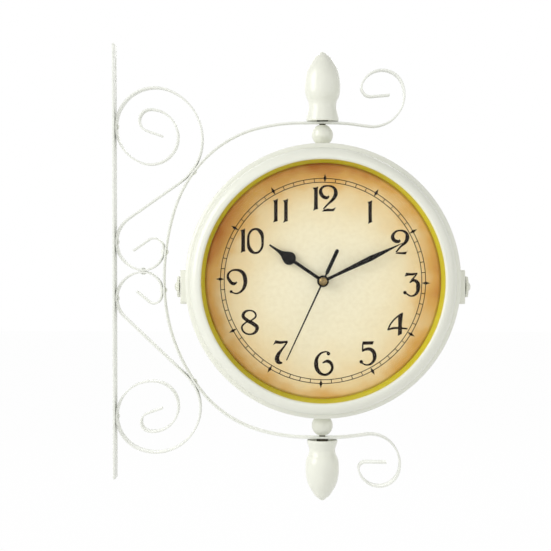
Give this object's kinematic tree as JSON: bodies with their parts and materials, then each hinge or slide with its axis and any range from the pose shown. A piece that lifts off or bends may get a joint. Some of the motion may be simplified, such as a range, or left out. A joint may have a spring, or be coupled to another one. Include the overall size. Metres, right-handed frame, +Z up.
{
  "type": "double sided station clock on a wall bracket",
  "caption": "Round clock with a dial on both faces, held between the arms of a scrolled flat bar wall bracket by studs, balls and pointed finials.",
  "frame": {"origin": "centre of the two wall slots, on the back face of the wall strip", "axes": "+X runs out from the wall to the clock, +Z is up, and the front dial faces -Y"},
  "size_m": [0.2891, 0.084, 0.3698],
  "materials": {
    "bracket_paint": "semi-gloss cream-white paint",
    "head_paint": "semi-gloss cream-white paint",
    "band_steel": "cream-white paint",
    "plated_steel": "zinc plated",
    "glass": "clear",
    "ring_gold": "olive gold lacquer",
    "dial_card": "printed aged cream to orange-brown",
    "black_plastic": "moulded",
    "battery_jacket": "plain jacket",
    "contact_brass": "bright",
    "board_green": "laminate",
    "coil_copper": "lacquered copper wire",
    "white_plastic": "moulded",
    "hand_black": "satin black",
    "cap_brass": "polished"
  },
  "bodies": {
    "bracket": {"wall_strip": "bracket_paint", "clock_arm": "bracket_paint", "upper_scroll": "bracket_paint", "lower_scroll": "bracket_paint", "strip_rivets": "bracket_paint", "bar_rivets": "bracket_paint"},
    "case": {"case_band": "band_steel", "upper_stud": "plated_steel", "lower_stud": "plated_steel", "stud_nuts": "plated_steel", "upper_ball": "head_paint", "lower_ball": "head_paint", "side_saddles": "head_paint", "side_nuts": "plated_steel"},
    "upper_finial_body": {"upper_finial": "head_paint"},
    "lower_finial_body": {"lower_finial": "head_paint"},
    "right_knob_body": {"right_knob": "head_paint"},
    "left_knob_body": {"left_knob": "head_paint"},
    "front_unit": {"front_bezel": "head_paint", "front_glass": "glass", "front_inner_ring": "ring_gold", "front_dial": "dial_card", "front_dial_retainer": "plated_steel", "front_movement_case": "black_plastic", "front_movement_cover": "black_plastic", "front_battery": "battery_jacket", "front_battery_contacts": "contact_brass", "front_circuit_board": "board_green", "front_motor_coil": "coil_copper", "front_bush_nut": "contact_brass"},
    "front_minute": {"front_minute_pinion": "white_plastic", "front_minute_hand": "hand_black"},
    "front_hour": {"front_hour_wheel": "white_plastic", "front_hour_hand": "hand_black"},
    "front_setting": {"front_setting_knob": "black_plastic", "front_minute_wheel": "white_plastic"},
    "front_second": {"front_second_arbor": "plated_steel", "front_second_hand": "hand_black", "front_hand_cap": "cap_brass"},
    "rear_unit": {"rear_bezel": "head_paint", "rear_glass": "glass", "rear_inner_ring": "ring_gold", "rear_dial": "dial_card", "rear_dial_retainer": "plated_steel", "rear_movement_case": "black_plastic", "rear_movement_cover": "black_plastic", "rear_battery": "battery_jacket", "rear_battery_contacts": "contact_brass", "rear_circuit_board": "board_green", "rear_motor_coil": "coil_copper", "rear_bush_nut": "contact_brass"},
    "rear_minute": {"rear_minute_pinion": "white_plastic", "rear_minute_hand": "hand_black"},
    "rear_hour": {"rear_hour_wheel": "white_plastic", "rear_hour_hand": "hand_black"},
    "rear_setting": {"rear_setting_knob": "black_plastic", "rear_minute_wheel": "white_plastic"},
    "rear_second": {"rear_second_arbor": "plated_steel", "rear_second_hand": "hand_black", "rear_hand_cap": "cap_brass"}
  },
  "joints": [
    {"name": "case_swivel", "type": "hinge", "parent": "bracket", "child": "case", "pos_m": [0.1693, 0, -0.0189], "axis": [0, 0, 1], "continuous": true},
    {"name": "upper_finial_screw", "type": "hinge", "parent": "case", "child": "upper_finial_body", "pos_m": [0.1693, 0, 0.137], "axis": [0, 0, 1], "continuous": true},
    {"name": "lower_finial_screw", "type": "hinge", "parent": "case", "child": "lower_finial_body", "pos_m": [0.1693, 0, -0.175], "axis": [0, 0, 1], "continuous": true},
    {"name": "right_knob_screw", "type": "hinge", "parent": "case", "child": "right_knob_body", "pos_m": [0.2793, 0, -0.0241], "axis": [1, 0, 0], "continuous": true},
    {"name": "left_knob_screw", "type": "hinge", "parent": "case", "child": "left_knob_body", "pos_m": [0.0593, 0, -0.0241], "axis": [1, 0, 0], "continuous": true},
    {"name": "front_lift_off", "type": "slide", "parent": "case", "child": "front_unit", "axis": [0, -1, 0], "range_m": [0, 0.03]},
    {"name": "front_minute_turn", "type": "hinge", "parent": "front_unit", "child": "front_minute", "pos_m": [0.1693, 0, -0.0189], "axis": [0, 1, 0], "continuous": true},
    {"name": "front_hour_turn", "type": "hinge", "parent": "front_unit", "child": "front_hour", "pos_m": [0.1693, 0, -0.0189], "axis": [0, 1, 0], "continuous": true},
    {"name": "front_setting_turn", "type": "hinge", "parent": "front_unit", "child": "front_setting", "pos_m": [0.1693, 0, -0.0069], "axis": [0, 1, 0], "continuous": true},
    {"name": "front_second_turn", "type": "hinge", "parent": "front_unit", "child": "front_second", "pos_m": [0.1693, 0, -0.0189], "axis": [0, 1, 0], "continuous": true},
    {"name": "rear_lift_off", "type": "slide", "parent": "case", "child": "rear_unit", "axis": [0, 1, 0], "range_m": [0, 0.03]},
    {"name": "rear_minute_turn", "type": "hinge", "parent": "rear_unit", "child": "rear_minute", "pos_m": [0.1693, 0, -0.0189], "axis": [0, -1, 0], "continuous": true},
    {"name": "rear_hour_turn", "type": "hinge", "parent": "rear_unit", "child": "rear_hour", "pos_m": [0.1693, 0, -0.0189], "axis": [0, -1, 0], "continuous": true},
    {"name": "rear_setting_turn", "type": "hinge", "parent": "rear_unit", "child": "rear_setting", "pos_m": [0.1693, 0, -0.0069], "axis": [0, -1, 0], "continuous": true},
    {"name": "rear_second_turn", "type": "hinge", "parent": "rear_unit", "child": "rear_second", "pos_m": [0.1693, 0, -0.0189], "axis": [0, -1, 0], "continuous": true}
  ],
  "couplings": [
    {"joint": "front_hour_turn", "follows": "front_minute_turn", "ratio": 0.083333},
    {"joint": "front_setting_turn", "follows": "front_minute_turn", "ratio": -0.33333},
    {"joint": "rear_hour_turn", "follows": "rear_minute_turn", "ratio": 0.083333},
    {"joint": "rear_setting_turn", "follows": "rear_minute_turn", "ratio": -0.33333}
  ]
}
